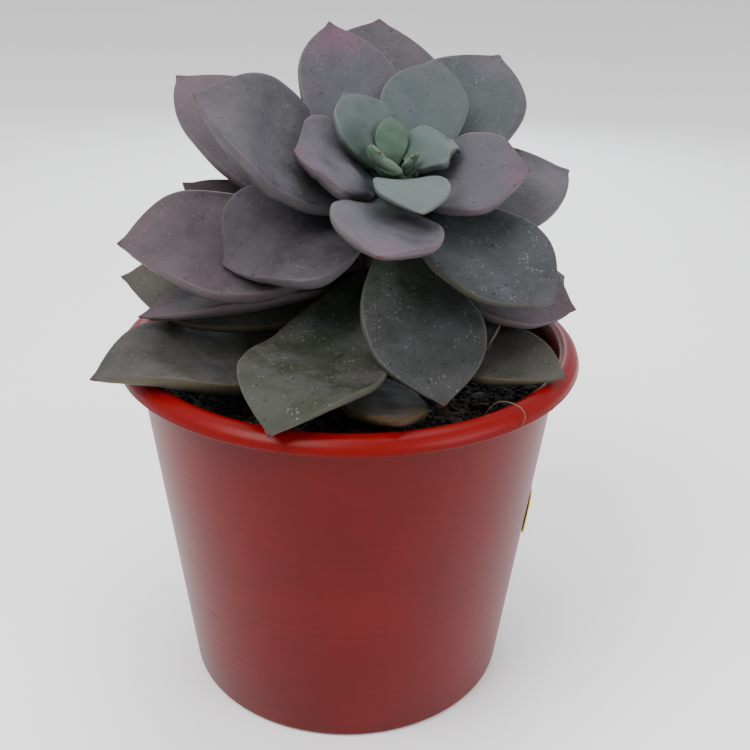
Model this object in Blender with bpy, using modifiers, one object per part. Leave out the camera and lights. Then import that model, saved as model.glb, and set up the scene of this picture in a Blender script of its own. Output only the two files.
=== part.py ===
"""Rosette succulent growing in a round moulded nursery pot.

Metres, +Z up.  The origin is the centre of the pot's underside, which rests on z = 0; the
front is -Y.  Lengths below are in millimetres and are multiplied by MM where they are used.

Pieces: pot, potting mix, stem, one node for every leaf (numbered from the youngest at the
growing point to the oldest at the bottom of the stem) and a round blank sticker on the wall.
"""
import math
from dataclasses import dataclass

import bmesh
import bpy
import numpy as np
from mathutils import Vector, noise
from mathutils.bvhtree import BVHTree

MM = 0.001

# --- pot -----------------------------------------------------------------------------------
POT_HEIGHT = 85.3
POT_BASE_R = 38.6
POT_NECK_R = 48.15          # outside of the wall just under the lip
LIP_R = 52.5                # outside of the lip
LIP_DROP = 3.3              # how far the lip's skirt hangs below the top
WALL = 1.15
FLOOR = 1.5
POT_SEGMENTS = 48
DRAIN_HOLES = 6
DRAIN_RING_R = 28.0
DRAIN_R = 4.0

# --- potting mix -----------------------------------------------------------------------------
SOIL_Z = 76.0               # mean height of its surface
SOIL_SWELL = 1.3            # how uneven the surface is
GAP = 0.35                  # clearance kept between neighbouring solids
SOIL_CLEAR = 0.7            # the same over the mix, whose surface is uneven

# --- stem ------------------------------------------------------------------------------------
# Centre line from its buried foot to the growing point, and the radius at each point.
STEM_LINE = [(1.5, 1.0, 48.0), (2.0, 0.8, 66.0), (3.0, 0.2, 79.0), (5.4, -1.4, 97.0),
             (8.0, -2.9, 114.0), (9.4, -3.7, 124.5)]
STEM_RADII = [4.6, 4.8, 4.6, 4.3, 3.4, 1.5]
STEM_STEPS = 16

# --- sticker ---------------------------------------------------------------------------------
STICKER_R = 6.0
STICKER_THICK = 0.25
STICKER_Z = 41.5
STICKER_AZIMUTH = -7.0      # degrees from +X

# --- leaves ----------------------------------------------------------------------------------
GOLDEN = 137.5              # degrees of turn between one leaf and the next older one
FIRST_AZIMUTH = 181.0       # of leaf 0
AXIS_LEAN_X = 4.0           # degrees the rosette's axis leans to +X
AXIS_LEAN_Y = -14.0         # and to -Y, the front
LEAF_SIDES = 10
LEAF_RINGS = 12
CROWDING = 42.0             # length of stem that carries all the leaves
REACH = 9.0                 # how deep under a younger leaf an older one is looked for
SETTLE_SWEEPS = 14
OLDEST = 42.0               # age of the lowest leaf


@dataclass
class Leaf:
    """One leaf: its place in the spiral and how it differs from the growth law.

    age is its number in the spiral, turn the degrees away from the golden-angle azimuth,
    pitch the angle between the blade and the rosette's axis, curl the bend of the blade
    towards its upper face from base to tip, roll its twist about the midrib and slide the
    distance up the stem from its regular place.
    """

    age: int
    pitch: float
    length: float
    width: float
    curl: float = -12.0
    turn: float = 0.0
    roll: float = 0.0
    slide: float = 0.0


LEAVES = [
    # the bud
    Leaf(0, pitch=8, length=3.5, width=2.5),
    Leaf(1, pitch=13, length=6.5, width=4.5),
    Leaf(2, pitch=25, length=12, width=7.5, curl=-17, turn=3, roll=9, slide=-1),
    Leaf(3, pitch=30, length=7.5, width=11.5, curl=-6, turn=-1, roll=-16, slide=2),
    # inner whorls
    Leaf(4, pitch=41, length=12.5, width=17.5, curl=-42, turn=15, roll=-6, slide=2),
    Leaf(5, pitch=32, length=19.5, width=19, curl=-28, turn=-17, roll=12, slide=1),
    Leaf(6, pitch=62, length=32, width=15, curl=-25, turn=-11, roll=3, slide=4),
    Leaf(7, pitch=62, length=36, width=20, curl=-4, turn=9, roll=9),
    Leaf(8, pitch=48, length=21, width=29, curl=-34, turn=-7, roll=-5, slide=2),
    Leaf(9, pitch=53, length=27, width=25, curl=-29, turn=9, roll=15, slide=1),
    # middle whorls
    Leaf(10, pitch=58, length=47, width=25, curl=-4, turn=-6, roll=3, slide=-1),
    Leaf(11, pitch=72, length=47, width=22, curl=-4, turn=11, roll=-7, slide=4),
    Leaf(12, pitch=62, length=57, width=29, curl=-19, turn=30, roll=8, slide=-2),
    Leaf(13, pitch=57, length=43, width=36, curl=-14, turn=9, roll=-5, slide=4),
    Leaf(14, pitch=84, length=39, width=27, curl=-29, turn=15, roll=8, slide=3),
    Leaf(15, pitch=67, length=60, width=36, curl=0, turn=9, roll=6, slide=-1),
    Leaf(16, pitch=84, length=34, width=36, curl=-27, turn=-15, roll=-3, slide=2),
    Leaf(17, pitch=65, length=43, width=31, curl=-22, turn=25, roll=3, slide=-2),
    # outer whorls
    Leaf(18, pitch=66, length=62, width=30, curl=-18, turn=6, roll=-7, slide=-1),
    Leaf(19, pitch=109, length=41, width=28, curl=-8, turn=14, roll=-8, slide=3),
    Leaf(20, pitch=83, length=52, width=31, roll=3, slide=-2),
    Leaf(21, pitch=79, length=52, width=36, curl=-18, turn=1, roll=-6),
    Leaf(22, pitch=90, length=41, width=28, curl=-23, turn=25, roll=10),
    Leaf(23, pitch=84, length=52, width=31, turn=1, roll=1, slide=-1),
    Leaf(24, pitch=77, length=54, width=29, curl=-38, turn=6, roll=6),
    Leaf(25, pitch=98, length=49, width=30, curl=-15, turn=4, roll=9),
    Leaf(26, pitch=72, length=44, width=26, curl=-10, turn=4, roll=-8, slide=-1),
    Leaf(27, pitch=88, length=27, width=26, curl=-1, turn=26, roll=4, slide=-3),
    Leaf(28, pitch=93, length=52, width=30, curl=-13, turn=2, roll=2, slide=-1),
    Leaf(29, pitch=90, length=48, width=21, curl=-17, turn=-17, roll=14, slide=2),
    # the old leaves that lie on the mix and over the rim
    Leaf(31, pitch=93, length=52, width=31, turn=1, roll=1),
    Leaf(32, pitch=72, length=47, width=18, curl=18, turn=15, roll=-1, slide=-16),
    Leaf(34, pitch=91, length=52, width=26, curl=0, turn=-2, roll=-14),
    Leaf(35, pitch=87, length=43, width=23, curl=4, turn=13, roll=-2, slide=1),
    Leaf(36, pitch=96, length=53, width=31),
    Leaf(39, pitch=102, length=44, width=26, curl=-16, turn=-1, roll=14, slide=1),
    Leaf(42, pitch=88, length=58, width=31, curl=6, turn=10, roll=10, slide=1),
]


def blend(x, xs, ys):
    """Piecewise-linear law through (xs, ys)."""
    return float(np.interp(x, xs, ys))


def unit(v):
    return v / np.linalg.norm(v)


def turned(v, axis, angle):
    """v turned about a unit axis."""
    c, s = math.cos(angle), math.sin(angle)
    return v * c + np.cross(axis, v) * s + axis * (axis @ v) * (1.0 - c)


# --- scene helpers ---------------------------------------------------------------------------
def clear_scene():
    for obj in list(bpy.data.objects):
        bpy.data.objects.remove(obj, do_unlink=True)
    for group in list(bpy.data.collections):
        bpy.data.collections.remove(group)


def new_collection(name):
    group = bpy.data.collections.new(name)
    bpy.context.scene.collection.children.link(group)
    return group


def make_material(name, colour, roughness, metallic=0.0):
    material = bpy.data.materials.new(name)
    material.use_nodes = True
    shader = material.node_tree.nodes["Principled BSDF"]
    shader.inputs["Base Color"].default_value = (*colour, 1.0)
    shader.inputs["Roughness"].default_value = roughness
    shader.inputs["Metallic"].default_value = metallic
    return material


def add_object(name, mesh, group, material=None):
    obj = bpy.data.objects.new(name, mesh)
    group.objects.link(obj)
    if material is not None:
        mesh.materials.append(material)
    return obj


def mesh_from_bmesh(name, bm, smooth=True):
    mesh = bpy.data.meshes.new(name)
    bm.to_mesh(mesh)
    bm.free()
    if smooth:
        mesh.shade_smooth()
        mesh.set_sharp_from_angle(angle=math.radians(50.0))
    return mesh


def profile_object(name, points, group, material, segments):
    """A turned solid: the (radius, height) profile and a Screw modifier."""
    bm = bmesh.new()
    verts = [bm.verts.new((r * MM, 0.0, z * MM)) for r, z in points]
    for a, b in zip(verts, verts[1:]):
        bm.edges.new((a, b))
    obj = add_object(name, mesh_from_bmesh(name, bm, smooth=False), group, material)
    screw = obj.modifiers.new("turn", "SCREW")
    screw.axis = "Z"
    screw.angle = math.tau
    screw.steps = segments
    screw.render_steps = segments
    screw.use_merge_vertices = True
    screw.merge_threshold = 0.00005
    screw.use_smooth_shade = True
    return obj


def tube_mesh(name, points, radii, sides_level=2):
    """A tapering tube through the points, as a closed mesh."""
    curve = bpy.data.curves.new(name, "CURVE")
    curve.dimensions = "3D"
    curve.bevel_depth = MM
    curve.bevel_resolution = sides_level
    curve.use_fill_caps = True
    spline = curve.splines.new("POLY")
    spline.points.add(len(points) - 1)
    for point, co, radius in zip(spline.points, points, radii):
        point.co = (co[0] * MM, co[1] * MM, co[2] * MM, 1.0)
        point.radius = radius
    holder = bpy.data.objects.new(name + "_curve", curve)
    bpy.context.scene.collection.objects.link(holder)
    bpy.context.view_layer.update()
    graph = bpy.context.evaluated_depsgraph_get()
    mesh = bpy.data.meshes.new_from_object(holder.evaluated_get(graph))
    mesh.name = name
    bpy.data.objects.remove(holder, do_unlink=True)
    bpy.data.curves.remove(curve)
    bm = bmesh.new()
    bm.from_mesh(mesh)
    bmesh.ops.remove_doubles(bm, verts=bm.verts, dist=0.00001)
    bmesh.ops.recalc_face_normals(bm, faces=bm.faces)
    bm.to_mesh(mesh)
    bm.free()
    mesh.shade_smooth()
    mesh.set_sharp_from_angle(angle=math.radians(50.0))
    return mesh


# --- pot, mix and sticker ----------------------------------------------------------------------
def wall_radius(z):
    """Outside radius of the tapering wall at height z."""
    return POT_BASE_R + (POT_NECK_R - POT_BASE_R) * z / (POT_HEIGHT - LIP_DROP)


def build_pot(group, cutters):
    top = POT_HEIGHT
    neck = POT_NECK_R
    skirt = top - LIP_DROP
    profile = [
        (0.0, FLOOR),
        (wall_radius(FLOOR) - WALL, FLOOR),
        (neck - WALL, skirt + 0.5),
        (neck - 0.2, top - 0.5),
        (neck + 1.1, top),
        (LIP_R - 1.6, top - 0.6),
        (LIP_R - 0.4, top - 1.8),
        (LIP_R, skirt + 0.2),
        (LIP_R - 0.2, skirt),
        (LIP_R - 1.0, skirt),
        (LIP_R - 1.4, skirt + 0.9),
        (neck + 1.3, skirt + 1.9),
        (neck + 0.3, skirt + 1.4),
        (neck, skirt),
        (wall_radius(0.8), 0.8),
        (wall_radius(0.0) - 0.7, 0.0),
        (0.0, 0.0),
    ]
    material = make_material("crimson_plastic", (0.22, 0.006, 0.016), 0.38)
    pot = profile_object("pot", profile, group, material, POT_SEGMENTS)
    for k in range(DRAIN_HOLES):
        angle = math.tau * (k + 0.5) / DRAIN_HOLES
        bm = bmesh.new()
        bmesh.ops.create_cone(bm, cap_ends=True, segments=16, radius1=DRAIN_R * MM,
                              radius2=DRAIN_R * MM, depth=4.0 * FLOOR * MM)
        name = "drain_%d" % (k + 1)
        cutter = add_object(name, mesh_from_bmesh(name, bm), cutters)
        cutter.location = (DRAIN_RING_R * math.cos(angle) * MM,
                           DRAIN_RING_R * math.sin(angle) * MM, 0.5 * FLOOR * MM)
        cutter.hide_render = True
        cutter.display_type = "WIRE"
        cut = pot.modifiers.new(name, "BOOLEAN")
        cut.operation = "DIFFERENCE"
        cut.solver = "EXACT"
        cut.object = cutter
    return pot


def soil_height(x, y):
    """Height of the mix's surface over (x, y), millimetres."""
    broad = noise.noise(Vector((x * 0.055, y * 0.055, 3.1)))
    fine = noise.noise(Vector((x * 0.19, y * 0.19, 7.7)))
    return SOIL_Z + SOIL_SWELL * (broad + 0.5 * fine)


def build_soil(group, cutter):
    """A plug that fills the pot, with an uneven top and a hole for the stem."""
    bottom = FLOOR + GAP
    shrink = math.cos(math.pi / POT_SEGMENTS)
    inside_top = (wall_radius(SOIL_Z) - WALL) * shrink - GAP
    inside_bottom = (wall_radius(bottom) - WALL) * shrink - GAP
    rings = 6
    profile = [(inside_top * k / rings, SOIL_Z) for k in range(rings + 1)]
    profile += [(inside_bottom, bottom), (0.0, bottom)]
    bm = bmesh.new()
    verts = [bm.verts.new((r * MM, 0.0, z * MM)) for r, z in profile]
    edges = [bm.edges.new(pair) for pair in zip(verts, verts[1:])]
    bmesh.ops.spin(bm, geom=verts + edges, angle=math.tau, steps=32, use_merge=True,
                   axis=(0, 0, 1), cent=(0, 0, 0))
    bmesh.ops.remove_doubles(bm, verts=bm.verts, dist=0.00002)
    for vert in bm.verts:
        if vert.co.z > 0.5 * SOIL_Z * MM:
            vert.co.z = soil_height(vert.co.x / MM, vert.co.y / MM) * MM
    bmesh.ops.recalc_face_normals(bm, faces=bm.faces)
    material = make_material("potting_mix", (0.012, 0.010, 0.009), 0.95)
    soil = add_object("potting_mix", mesh_from_bmesh("potting_mix", bm), group, material)
    cut = soil.modifiers.new("stem_hole", "BOOLEAN")
    cut.operation = "DIFFERENCE"
    cut.solver = "EXACT"
    cut.object = cutter
    return soil


def build_sticker(group):
    """A round blank sticker that follows the wall."""
    bm = bmesh.new()
    bmesh.ops.create_circle(bm, cap_ends=True, cap_tris=True, segments=24, radius=STICKER_R)
    bmesh.ops.subdivide_edges(bm, edges=[e for e in bm.edges if len(e.link_faces) == 2],
                              cuts=1, use_grid_fill=True)
    grown = bmesh.ops.extrude_face_region(bm, geom=list(bm.faces))
    outer = {v for v in grown["geom"] if isinstance(v, bmesh.types.BMVert)}
    for vert in bm.verts:
        z = STICKER_Z + vert.co.y
        radius = wall_radius(z) + GAP + (STICKER_THICK if vert in outer else 0.0)
        angle = math.radians(STICKER_AZIMUTH) + vert.co.x / wall_radius(z)
        vert.co = Vector((radius * math.cos(angle), radius * math.sin(angle), z)) * MM
    bmesh.ops.recalc_face_normals(bm, faces=bm.faces)
    material = make_material("sticker_paper", (0.80, 0.74, 0.10), 0.55)
    return add_object("sticker", mesh_from_bmesh("sticker", bm), group, material)


# --- stem ----------------------------------------------------------------------------------------
def stem_point(u):
    """Centre of the stem and its radius at u, from 0 at the foot to 1 at the growing point."""
    line = np.array(STEM_LINE)
    count = len(line) - 1
    x = min(max(u, 0.0), 1.0) * count
    i = min(int(x), count - 1)
    f = x - i
    p0, p1, p2, p3 = (line[min(max(j, 0), count)] for j in (i - 1, i, i + 1, i + 2))
    centre = 0.5 * (2.0 * p1 + (p2 - p0) * f + (2.0 * p0 - 5.0 * p1 + 4.0 * p2 - p3) * f ** 2
                    + (3.0 * p1 - p0 - 3.0 * p2 + p3) * f ** 3)
    return centre, blend(x, range(count + 1), STEM_RADII)


def build_stem(group, cutters):
    steps = [stem_point(k / STEM_STEPS) for k in range(STEM_STEPS + 1)]
    points = [s[0] for s in steps]
    radii = [s[1] for s in steps]
    material = make_material("stem_skin", (0.13, 0.15, 0.08), 0.6)
    add_object("stem", tube_mesh("stem", points, radii), group, material)
    inside = [(p, r) for p, r in zip(points, radii) if p[2] < SOIL_Z + 8.0]
    foot = inside[0][0] - np.array([0.0, 0.0, GAP])
    hole_points = [foot] + [p for p, _ in inside[1:]]
    hole_radii = [r + GAP / math.cos(math.pi / 8.0) for _, r in inside]
    cutter = add_object("stem_hole", tube_mesh("stem_hole", hole_points, hole_radii), cutters)
    cutter.hide_render = True
    cutter.display_type = "WIRE"
    return cutter


# --- leaves ----------------------------------------------------------------------------------------
def leaf_outline(s):
    """Half-width of the blade as a fraction of its greatest, from base (0) to tip (1)."""
    widest, base = 0.60, 0.22
    if s < widest:
        return base + (1.0 - base) * math.sin(0.5 * math.pi * s / widest) ** 1.25
    q = (s - widest) / (1.0 - widest)
    return 1.0 - q ** 2.15


def leaf_thickness(s):
    return blend(s, (0.0, 0.1, 0.3, 0.5, 0.75, 0.9, 1.0), (0.5, 0.62, 0.9, 1.0, 0.82, 0.5, 0.1))


def rosette_axis():
    lean_x, lean_y = math.radians(AXIS_LEAN_X), math.radians(AXIS_LEAN_Y)
    return unit(np.array([math.sin(lean_x), math.sin(lean_y), 1.0]))


class LeafShape:
    """Stations along one leaf's midrib and the solid laid over them."""

    def __init__(self, leaf, stem_end):
        self.leaf = leaf
        axis = rosette_axis()
        across = unit(np.array([1.0, 0.0, 0.0]) - axis[0] * axis)
        ahead = np.cross(axis, across)
        azimuth = math.radians(FIRST_AZIMUTH + GOLDEN * leaf.age + leaf.turn)
        outward = across * math.cos(azimuth) + ahead * math.sin(azimuth)
        down = CROWDING * (leaf.age / OLDEST) ** 1.2
        foot, radius = self.attachment(stem_end, down - leaf.slide)
        base = foot + outward * (radius + GAP + 0.4)
        pitch = math.radians(leaf.pitch)
        along = axis * math.cos(pitch) + outward * math.sin(pitch)
        normal = axis * math.sin(pitch) - outward * math.cos(pitch)
        side = np.cross(normal, along)
        roll = math.radians(leaf.roll)
        normal, side = turned(normal, along, roll), turned(side, along, roll)
        q = np.arange(LEAF_RINGS) / (LEAF_RINGS - 1.0)
        inner = 0.02 + 0.955 * (q - 0.05 * np.sin(2.0 * math.pi * q))
        self.s = np.concatenate([[0.0], inner, [1.0]])
        curl = math.radians(leaf.curl)
        points, normals, previous = [base], [], None
        for i, s in enumerate(self.s):
            a = curl * s
            ahead_here = along * math.cos(a) + normal * math.sin(a)
            normals.append(normal * math.cos(a) - along * math.sin(a))
            if i:
                step = (s - self.s[i - 1]) * leaf.length
                points.append(points[-1] + 0.5 * (previous + ahead_here) * step)
            previous = ahead_here
        self.points = np.array(points)
        self.normals = np.array(normals)
        self.side = side
        self.half = np.array([leaf_outline(s) for s in self.s]) * 0.5 * leaf.width
        thick = 0.55 + 0.17 * leaf.width
        self.thick = np.array([leaf_thickness(s) for s in self.s]) * thick

    @staticmethod
    def attachment(stem_end, down):
        """The stem's centre and radius at a distance below the growing point."""
        best = min(stem_end, key=lambda item: abs(item[0] - down))
        return best[1], best[2]

    def vertices(self):
        """Base pole, the rings from base to tip, tip pole; millimetres."""
        angle = 2.0 * math.pi * np.arange(LEAF_SIDES) / LEAF_SIDES
        x, y = np.cos(angle), np.sin(angle)
        rise = np.where(y > 0.0, 0.22 * y, 0.78 * y)
        cup = 0.13
        rings = []
        for k in range(1, LEAF_RINGS + 1):
            across = self.half[k] * x
            up = self.thick[k] * rise + cup * self.half[k] * x ** 2
            rings.append(self.points[k] + np.outer(across, self.side)
                         + np.outer(up, self.normals[k]))
        return np.vstack([self.points[:1], *rings, self.points[-1:]])

    def station_of(self, vertex):
        if vertex == 0:
            return 0
        return 1 + (vertex - 1) // LEAF_SIDES


def leaf_faces():
    """Faces over the vertex order of LeafShape.vertices, pointing outwards."""
    faces = []
    n = LEAF_SIDES
    last = 1 + n * LEAF_RINGS
    for j in range(n):
        k = (j + 1) % n
        faces.append((0, 1 + k, 1 + j))
        for ring in range(LEAF_RINGS - 1):
            a = 1 + ring * n
            faces.append((a + j, a + k, a + n + k))
            faces.append((a + j, a + n + k, a + n + j))
        faces.append((last, last - n + j, last - n + k))
    return faces


def tree_from(solid):
    return BVHTree.FromPolygons([Vector(v) for v in solid], leaf_faces())


class Placed:
    """A solid already in place: its search tree, vertices and extent."""

    def __init__(self, solid):
        self.solid = solid
        faces = leaf_faces()
        middles = np.array([solid[list(face)].mean(axis=0) for face in faces])
        self.probes = np.vstack([solid, middles])
        self.owners = list(range(len(solid))) + [face[0] for face in faces]
        self.tree = tree_from(solid)
        self.low = solid.min(axis=0)
        self.high = solid.max(axis=0)

    def near(self, low, high, reach):
        return bool(np.all(self.low < high + reach) and np.all(self.high > low - reach))


def drops_under(shape, own, younger):
    """How far each station must move against its normal to lie under a younger leaf."""
    drops = np.zeros(len(shape.points))
    if not younger.near(own.low, own.high, REACH):
        return drops
    for index, co in zip(own.owners, own.probes):
        station = shape.station_of(index)
        normal = Vector(shape.normals[station])
        hit = younger.tree.ray_cast(Vector(co) - normal * REACH, normal, REACH + GAP)
        if hit[0] is not None:
            drops[station] = max(drops[station], REACH + GAP - hit[3])
    low, high = own.low - REACH, own.high + REACH
    inside = np.all((younger.probes > low) & (younger.probes < high), axis=1)
    for co in younger.probes[inside]:
        station = int(np.argmin(np.sum((shape.points - co) ** 2, axis=1)))
        normal = Vector(shape.normals[station])
        hit = own.tree.ray_cast(Vector(co) + normal * REACH, -normal, REACH + GAP)
        if hit[0] is not None:
            drops[station] = max(drops[station], REACH + GAP - hit[3])
    return drops


def off_stem(points, table):
    """Moves that bring points clear of the stem's surface."""
    centres = np.array([item[1] for item in table[::8]])
    radii = np.array([item[2] for item in table[::8]])
    offset = points[:, None, :] - centres[None, :, :]
    distance = np.linalg.norm(offset, axis=2) - radii[None, :]
    nearest = distance.argmin(axis=1)
    rows = np.arange(len(points))
    depth = np.maximum(GAP - distance[rows, nearest], 0.0)
    away = offset[rows, nearest]
    return away / np.linalg.norm(away, axis=1)[:, None] * depth[:, None]


def off_soil(points):
    """Moves that lift points clear of the potting mix."""
    moves = np.zeros_like(points)
    for row, (x, y, z) in enumerate(points):
        if math.hypot(x, y) < POT_NECK_R:
            moves[row, 2] = max(0.0, soil_height(x, y) + SOIL_CLEAR - z)
    return moves


def off_pot(points):
    """Moves that bring points inside the wall, or up and over the lip, whichever is less."""
    moves = np.zeros_like(points)
    for row, (x, y, z) in enumerate(points):
        radius = math.hypot(x, y)
        inward = radius - (wall_radius(z) - WALL - GAP)
        climb = POT_HEIGHT + GAP - 0.8 * max(0.0, radius - LIP_R) - z
        if inward <= 0.0 or climb <= 0.0:
            continue
        if inward < climb:
            moves[row] = (-x / radius * inward, -y / radius * inward, 0.0)
        else:
            moves[row, 2] = climb
    return moves


def clear_of_fixed(shape, own, table):
    """The largest move wanted at each station to clear the stem, the mix and the pot."""
    moves = np.zeros((len(shape.points), 3))
    largest = np.zeros(len(shape.points))
    for wanted in (off_stem(own.probes, table), off_soil(own.probes), off_pot(own.probes)):
        size = np.linalg.norm(wanted, axis=1)
        for index in np.nonzero(size > 0.0)[0]:
            station = shape.station_of(own.owners[int(index)])
            if size[index] > largest[station]:
                largest[station] = size[index]
                moves[station] = wanted[index]
    return moves


def eased(values, width=1.6):
    """An envelope over the station values that falls away smoothly to both sides."""
    count = len(values)
    k = np.arange(count)
    fall = np.exp(-((k[:, None] - k[None, :]) / width) ** 2)
    return (fall * values[None, :]).max(axis=1)


def eased_moves(moves, width=1.6):
    size = np.linalg.norm(moves, axis=1)
    k = np.arange(len(size))
    fall = np.exp(-((k[:, None] - k[None, :]) / width) ** 2) * size[None, :]
    source = fall.argmax(axis=1)
    direction = moves[source] / np.maximum(size[source], 1e-9)[:, None]
    return direction * fall.max(axis=1)[:, None]


def settle(shapes, table):
    """Lay each leaf under the younger ones, and clear of the pot, the mix and the stem."""
    placed = []
    for shape in shapes:
        for sweep in range(SETTLE_SWEEPS):
            own = Placed(shape.vertices())
            drops = np.zeros(len(shape.points))
            for younger in placed:
                drops = np.maximum(drops, drops_under(shape, own, younger))
            moves = clear_of_fixed(shape, own, table)
            worst = max(drops.max(), np.linalg.norm(moves, axis=1).max())
            if worst < 0.02:
                break
            squeezed = (eased(drops) > 0.02) & (np.linalg.norm(eased_moves(moves), axis=1) > 0.02)
            if sweep > 2:
                shape.thick = np.where(squeezed, shape.thick * 0.93, shape.thick)
            shape.points = (shape.points - shape.normals * eased(drops)[:, None] * 0.9
                            + eased_moves(moves) * 0.9)
        placed.append(Placed(shape.vertices()))


def leaf_colour(age):
    """From pale green at the bud through mauve grey to olive at the bottom."""
    stops = [0, 5, 10, 18, 28, 37]
    red = blend(age, stops, [0.28, 0.24, 0.17, 0.12, 0.13, 0.14])
    green = blend(age, stops, [0.40, 0.33, 0.19, 0.14, 0.15, 0.16])
    blue = blend(age, stops, [0.26, 0.25, 0.18, 0.13, 0.11, 0.07])
    return (red, green, blue)


def build_leaf(shape, group):
    name = "leaf_%02d" % (shape.leaf.age + 1)
    bm = bmesh.new()
    bmesh.ops.create_uvsphere(bm, u_segments=LEAF_SIDES, v_segments=LEAF_RINGS + 1, radius=1.0)
    solid = shape.vertices()
    for vert in bm.verts:
        ring = round(math.acos(max(-1.0, min(1.0, -vert.co.z))) * (LEAF_RINGS + 1) / math.pi)
        if ring == 0:
            index = 0
        elif ring == LEAF_RINGS + 1:
            index = len(solid) - 1
        else:
            side = round(math.atan2(vert.co.y, vert.co.x) * LEAF_SIDES / math.tau) % LEAF_SIDES
            index = 1 + (ring - 1) * LEAF_SIDES + side
        vert.co = Vector(solid[index]) * MM
    material = make_material(name + "_skin", leaf_colour(shape.leaf.age), 0.55)
    return add_object(name, mesh_from_bmesh(name, bm), group, material)


def stem_table():
    """Distance below the growing point, centre and radius, finely sampled."""
    table = []
    last, travelled = None, 0.0
    for k in range(401):
        centre, radius = stem_point(1.0 - k / 400.0)
        if last is not None:
            travelled += float(np.linalg.norm(centre - last))
        table.append((travelled, centre, radius))
        last = centre
    return table


def main():
    clear_scene()
    group = new_collection("potted_succulent")
    cutters = new_collection("cutters")
    build_pot(group, cutters)
    hole = build_stem(group, cutters)
    build_soil(group, hole)
    build_sticker(group)
    table = stem_table()
    shapes = [LeafShape(leaf, table) for leaf in LEAVES]
    settle(shapes, table)
    for shape in shapes:
        build_leaf(shape, group)


if __name__ == "__main__":
    main()
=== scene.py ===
"""Visual model of a rosette succulent in a round nursery pot.

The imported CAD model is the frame.  Each CAD leaf is measured and replaced by a finely
modelled leaf in the same place; the pot, the potting mix and the stem get fine versions of
the same shape, and the mix gets loose grains, bark chips and fibres.
"""
import logging
import math
import random
from dataclasses import dataclass, replace
from enum import Enum
from typing import Iterable, Sequence

import bmesh
import bpy
import numpy as np
from mathutils import Matrix, Vector, noise
from mathutils.bvhtree import BVHTree


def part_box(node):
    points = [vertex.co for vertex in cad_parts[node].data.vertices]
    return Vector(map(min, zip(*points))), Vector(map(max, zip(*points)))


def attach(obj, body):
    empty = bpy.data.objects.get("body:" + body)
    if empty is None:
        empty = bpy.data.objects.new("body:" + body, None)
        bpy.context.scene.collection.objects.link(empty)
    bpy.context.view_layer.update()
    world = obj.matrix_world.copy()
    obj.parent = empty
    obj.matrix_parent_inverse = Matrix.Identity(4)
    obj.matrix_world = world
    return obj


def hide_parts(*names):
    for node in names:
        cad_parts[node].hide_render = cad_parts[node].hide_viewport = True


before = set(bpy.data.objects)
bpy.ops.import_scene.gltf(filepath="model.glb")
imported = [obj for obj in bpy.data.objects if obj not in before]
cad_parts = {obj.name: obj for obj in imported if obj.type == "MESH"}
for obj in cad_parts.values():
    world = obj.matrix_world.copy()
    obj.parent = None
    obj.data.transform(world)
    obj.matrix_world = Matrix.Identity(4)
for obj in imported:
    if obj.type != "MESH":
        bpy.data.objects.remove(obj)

LOG = logging.getLogger("potted_succulent")
MM = 0.001
BODY = "root"
Colour = tuple[float, float, float]


# --- constants of the shapes -----------------------------------------------------------------
POLE_EDGES = 8              # edges that meet at either end of a CAD leaf, at the least
CUTS = (0.025, 0.07, 0.14, 0.22, 0.31, 0.40, 0.49, 0.58, 0.67, 0.75, 0.82, 0.88, 0.93, 0.97)
SECTION_RISE = 0.951        # height of a ring's upper and lower corners over the thickness
SECTION_CUP = 0.13          # how far the margins stand above the midrib, over the half-width
FULLNESS = 0.66             # below 1, the flesh fills out towards the margins
UPPER_FULLNESS = 0.88       # the same on the flatter upper face
UPPER_RISE = 0.22           # share of the thickness above the line between the margins
LOWER_RISE = 0.78           # and below it
TIP_NARROWING = 0.16
TIP_SIZE = 0.55 * MM        # length of the small point at the tip, at the most
TIP_SHARE = 0.012           # the same over the leaf's length
FLESH_WAVE = 0.16           # unevenness of the faces over the thickness
LEAF_SEGMENTS = 48
LEAF_RINGS = 56
POT_STEPS = 168
MIX_SPOKES = 168
MIX_RINGS = 46
DEPTH = 0.25                # base colours over the colours seen in bright light
PURITY = 1.55               # how much purer they are


class Shading(Enum):
    """How a piece's faces are shaded."""

    SMOOTH = True
    FLAT = False


# --- small helpers ---------------------------------------------------------------------------
def unit(vector: np.ndarray) -> np.ndarray:
    """Scale a vector to length one."""
    return vector / max(float(np.linalg.norm(vector)), 1e-12)


def smoothstep(x: np.ndarray, low: float, high: float) -> np.ndarray:
    """Rise smoothly from 0 at low to 1 at high."""
    q = np.clip((x - low) / (high - low), 0.0, 1.0)
    return q * q * (3.0 - 2.0 * q)


def through(knots: np.ndarray, values: np.ndarray, at: np.ndarray) -> np.ndarray:
    """Cubic curve through values at knots.

    Args:
        knots: Increasing parameters, one per row of values.
        values: One row per knot; rows are numbers or vectors.
        at: Parameters wanted.

    Returns:
        The rows at those parameters.
    """
    values = np.asarray(values, float)
    flat = values.ndim == 1
    if flat:
        values = values[:, None]
    slope = np.gradient(values, knots, axis=0)
    index = np.clip(np.searchsorted(knots, at, side="right") - 1, 0, len(knots) - 2)
    span = (knots[index + 1] - knots[index])[:, None]
    u = (at - knots[index])[:, None] / span
    h00 = 2.0 * u ** 3 - 3.0 * u ** 2 + 1.0
    h10 = u ** 3 - 2.0 * u ** 2 + u
    h01 = -2.0 * u ** 3 + 3.0 * u ** 2
    h11 = u ** 3 - u ** 2
    out = (h00 * values[index] + h10 * span * slope[index]
           + h01 * values[index + 1] + h11 * span * slope[index + 1])
    return out[:, 0] if flat else out


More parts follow.
